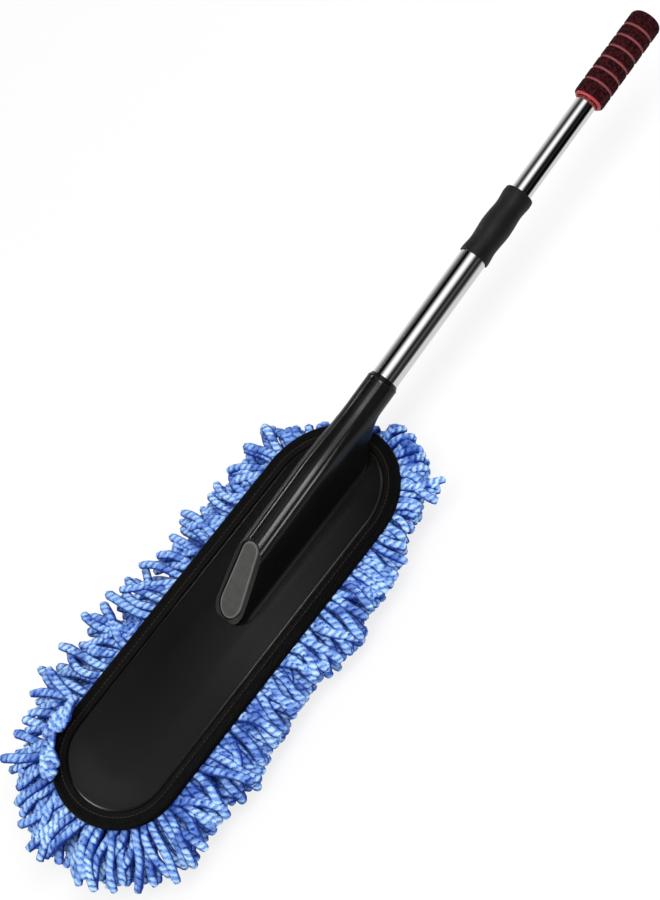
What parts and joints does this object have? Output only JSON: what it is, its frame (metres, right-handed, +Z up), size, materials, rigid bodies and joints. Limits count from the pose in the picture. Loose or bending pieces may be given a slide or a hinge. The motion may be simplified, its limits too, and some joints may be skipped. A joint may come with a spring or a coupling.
{
  "type": "car wash brush",
  "caption": "Oblong padded car wash brush in a fringed microfibre cover, on a telescoping metal handle with a twist lock and foam grip.",
  "frame": {"origin": "middle of the wash face, at the level tips of the strands that the brush stands on", "axes": "+X along the paddle towards the grip, +Z up out of the shell's deck"},
  "size_m": [0.7887, 0.1905, 0.123],
  "materials": {
    "shell_black": "satin black moulded plastic",
    "insert_grey": "fine textured grey plastic",
    "inner_plastic": "natural grey plastic",
    "pad_foam": "open-cell foam",
    "strand_blue": "twisted microfibre cords",
    "binding_black": "woven elastic binding",
    "tube_chrome": "bright plated tube",
    "screw_steel": "zinc plated",
    "grip_black": "soft dark foam rubber",
    "grip_red": "soft red foam rubber"
  },
  "bodies": {
    "head": {"paddle_shell": "shell_black", "end_insert": "insert_grey", "base_plate": "shell_black", "base_screw_1": "screw_steel", "base_screw_2": "screw_steel", "base_screw_3": "screw_steel", "base_screw_4": "screw_steel", "base_screw_5": "screw_steel", "base_screw_6": "screw_steel", "base_screw_7": "screw_steel", "base_screw_8": "screw_steel", "foam_pad": "pad_foam", "edge_binding": "binding_black", "side_strands_1": "strand_blue", "side_strands_2": "strand_blue", "side_strands_3": "strand_blue", "side_strands_4": "strand_blue", "side_strands_5": "strand_blue", "side_strands_6": "strand_blue", "side_strands_7": "strand_blue", "side_strands_8": "strand_blue", "wash_strands_1": "strand_blue", "wash_strands_2": "strand_blue", "wash_strands_3": "strand_blue", "wash_strands_4": "strand_blue", "wash_strands_5": "strand_blue", "lower_tube": "tube_chrome", "lower_tube_plug": "inner_plastic", "tube_screw": "screw_steel", "collet_body": "inner_plastic"},
    "collar": {"lock_collar": "shell_black"},
    "slide_bush": {"guide_bush": "inner_plastic"},
    "upper_handle": {"upper_tube": "tube_chrome", "inner_end_plug": "inner_plastic", "grip_core": "grip_red", "grip_sleeve": "grip_black", "butt_cap": "grip_black"}
  },
  "joints": [
    {"name": "collar_twist", "type": "hinge", "parent": "head", "child": "collar", "pos_m": [0.35839, 0, 0.0957], "axis": [0.9976, 0, 0.0698], "range_deg": [0, 120]},
    {"name": "telescope_slide", "type": "slide", "parent": "head", "child": "slide_bush", "axis": [0.9976, 0, 0.0698], "range_m": [-0.09, 0.133]},
    {"name": "upper_spin", "type": "hinge", "parent": "slide_bush", "child": "upper_handle", "pos_m": [0.17289, 0, 0.08273], "axis": [0.9976, 0, 0.0698], "continuous": true}
  ]
}
